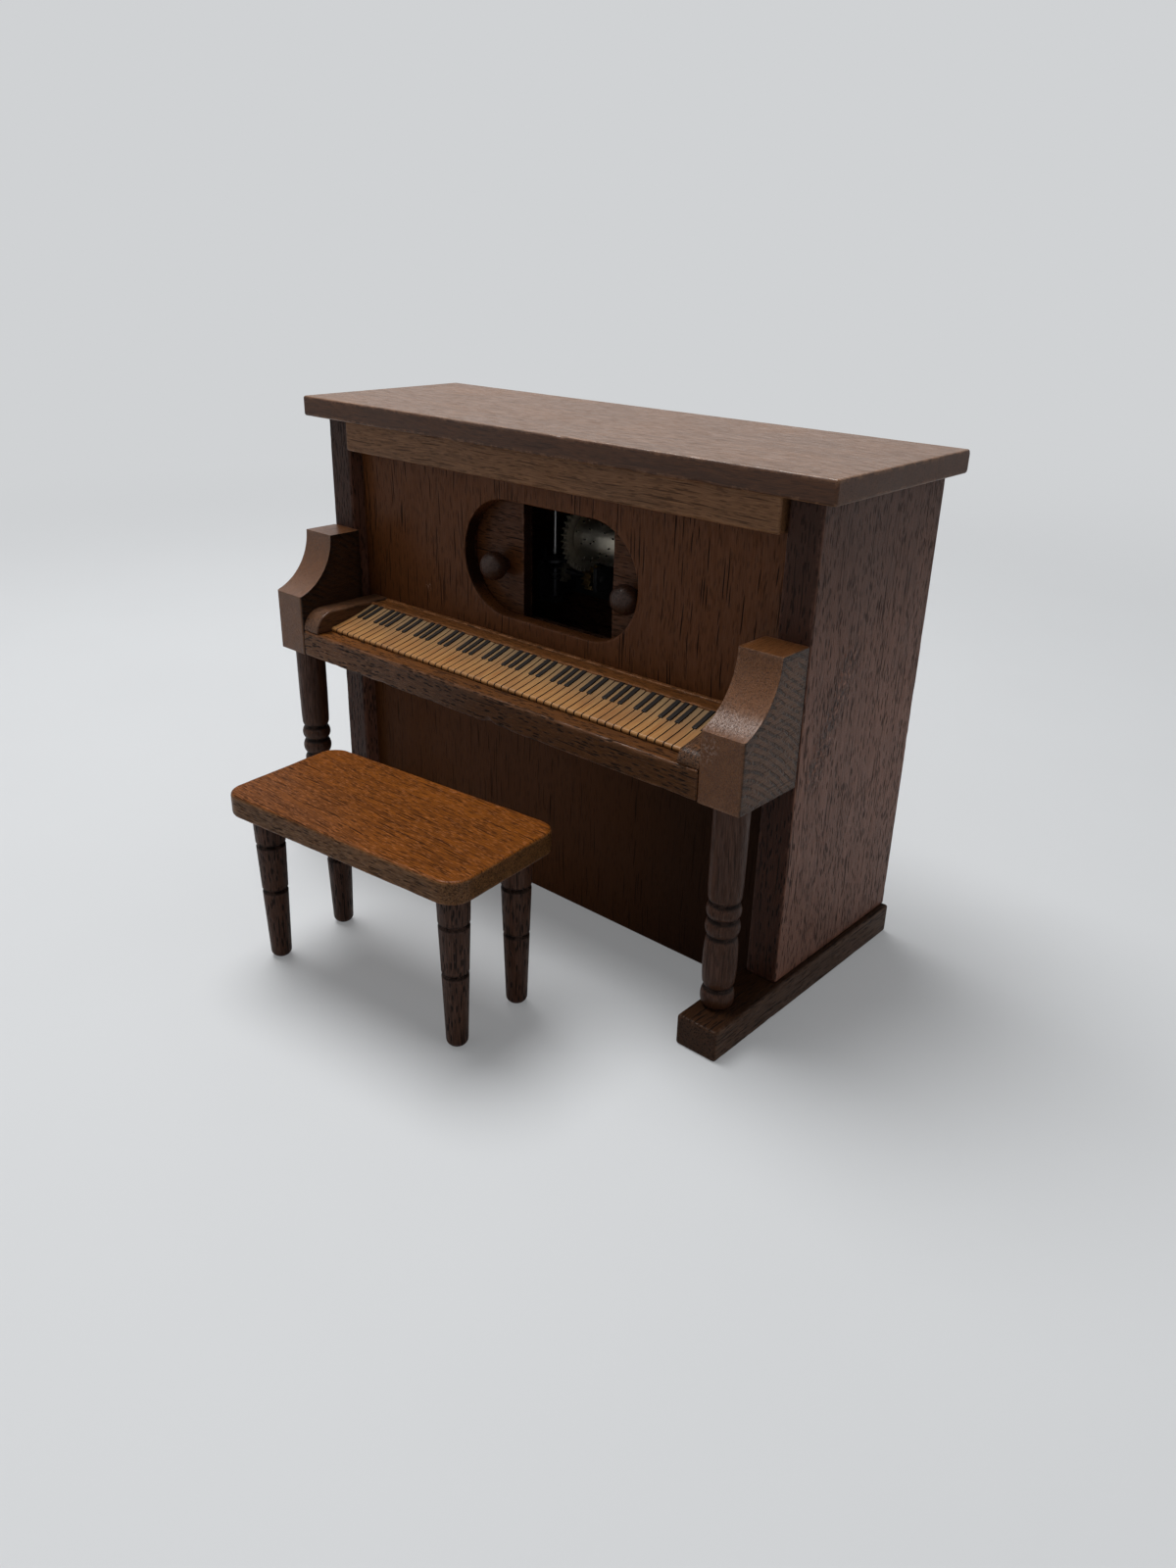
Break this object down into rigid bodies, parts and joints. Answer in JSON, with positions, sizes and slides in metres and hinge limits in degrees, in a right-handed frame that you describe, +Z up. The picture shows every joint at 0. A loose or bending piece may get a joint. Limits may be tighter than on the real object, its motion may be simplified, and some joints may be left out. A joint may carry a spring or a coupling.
{
  "type": "piano music box",
  "caption": "Wooden upright piano music box with sliding window doors, hinged lid, key-wound comb movement and a loose bench.",
  "frame": {"origin": "middle of the whole outline, on the floor that the runners and the bench stand on", "axes": "+X to the viewer's right along the keyboard, +Y from the bench to the back panel, +Z up"},
  "size_m": [0.16, 0.1332, 0.1198],
  "materials": {
    "walnut": "satin lacquer",
    "warm_walnut": "satin lacquer",
    "aged_ivory": "satin lacquer",
    "black_lacquer": "satin lacquer",
    "brass": "satin",
    "steel": "satin",
    "plated_metal": "polished",
    "cast_zinc": "matte",
    "nylon": "matte"
  },
  "bodies": {
    "case": {"left_side_panel": "walnut", "right_side_panel": "walnut", "left_runner": "walnut", "right_runner": "walnut", "upper_front_panel": "walnut", "lower_front_panel": "walnut", "cornice": "walnut", "bottom_board": "walnut", "back_panel": "walnut", "left_batten": "walnut", "right_batten": "walnut", "left_arm": "walnut", "right_arm": "walnut", "left_column": "walnut", "right_column": "walnut", "left_key_block": "walnut", "right_key_block": "walnut", "upper_track": "walnut", "lower_track": "walnut", "key_bed": "warm_walnut", "fall_strip": "warm_walnut", "white_keys": "aged_ivory", "black_keys": "black_lacquer", "back_screws": "brass", "hinge_case_leaves": "brass", "hinge_pins": "brass", "hinge_case_screws": "brass", "governor_frame": "brass", "comb": "steel", "comb_screws": "steel", "movement_screws": "steel", "click_spring": "steel", "bedplate": "cast_zinc", "left_bracket": "cast_zinc"},
    "lid": {"top_lid": "walnut", "hinge_lid_leaves": "brass", "hinge_lid_screws": "brass", "stop_pin": "steel"},
    "left_door_slider": {"left_door": "walnut", "left_door_knob": "warm_walnut"},
    "right_door_slider": {"right_door": "walnut", "right_door_knob": "warm_walnut"},
    "cylinder_train": {"music_cylinder": "plated_metal", "cylinder_arbor": "steel", "great_wheel": "nylon", "cylinder_pinion": "brass"},
    "barrel_train": {"spring_barrel": "brass", "barrel_cover": "brass", "mainspring": "steel"},
    "governor_train": {"governor_arbor": "steel", "governor_pinion": "brass", "worm_wheel": "nylon"},
    "worm_train": {"worm_shaft": "steel", "fan": "steel"},
    "winder": {"winding_arbor": "steel", "winding_key": "brass"},
    "bench": {"bench_seat": "warm_walnut", "bench_legs": "warm_walnut"}
  },
  "joints": [
    {"name": "lid_hinge", "type": "hinge", "parent": "case", "child": "lid", "pos_m": [0, 0.05359, 0.1147], "axis": [-1, 0, 0], "range_deg": [0, 100]},
    {"name": "left_door_slide", "type": "slide", "parent": "case", "child": "left_door_slider", "axis": [1, 0, 0], "range_m": [-0.0057, 0.0112]},
    {"name": "right_door_slide", "type": "slide", "parent": "case", "child": "right_door_slider", "axis": [1, 0, 0], "range_m": [-0.017, 0]},
    {"name": "cylinder_spin", "type": "hinge", "parent": "case", "child": "cylinder_train", "pos_m": [-0.002, 0.03558, 0.0888], "axis": [1, 0, 0], "continuous": true},
    {"name": "barrel_spin", "type": "hinge", "parent": "case", "child": "barrel_train", "pos_m": [0.022, 0.04158, 0.0888], "axis": [0, 1, 0], "continuous": true},
    {"name": "governor_spin", "type": "hinge", "parent": "case", "child": "governor_train", "pos_m": [-0.018, 0.03809, 0.07706], "axis": [1, 0, 0], "continuous": true},
    {"name": "worm_spin", "type": "hinge", "parent": "case", "child": "worm_train", "pos_m": [-0.0225, 0.03399, 0.07706], "axis": [0, 0, 1], "continuous": true},
    {"name": "winding_turn", "type": "hinge", "parent": "case", "child": "winder", "pos_m": [0.022, 0.05258, 0.0888], "axis": [0, 1, 0], "continuous": true},
    {"name": "bench_slide", "type": "slide", "parent": "case", "child": "bench", "axis": [0, 1, 0], "range_m": [-0.02, 0.03]}
  ],
  "couplings": [
    {"joint": "barrel_spin", "follows": "cylinder_spin", "ratio": 0.33333},
    {"joint": "governor_spin", "follows": "cylinder_spin", "ratio": -3},
    {"joint": "worm_spin", "follows": "cylinder_spin", "ratio": -36}
  ]
}
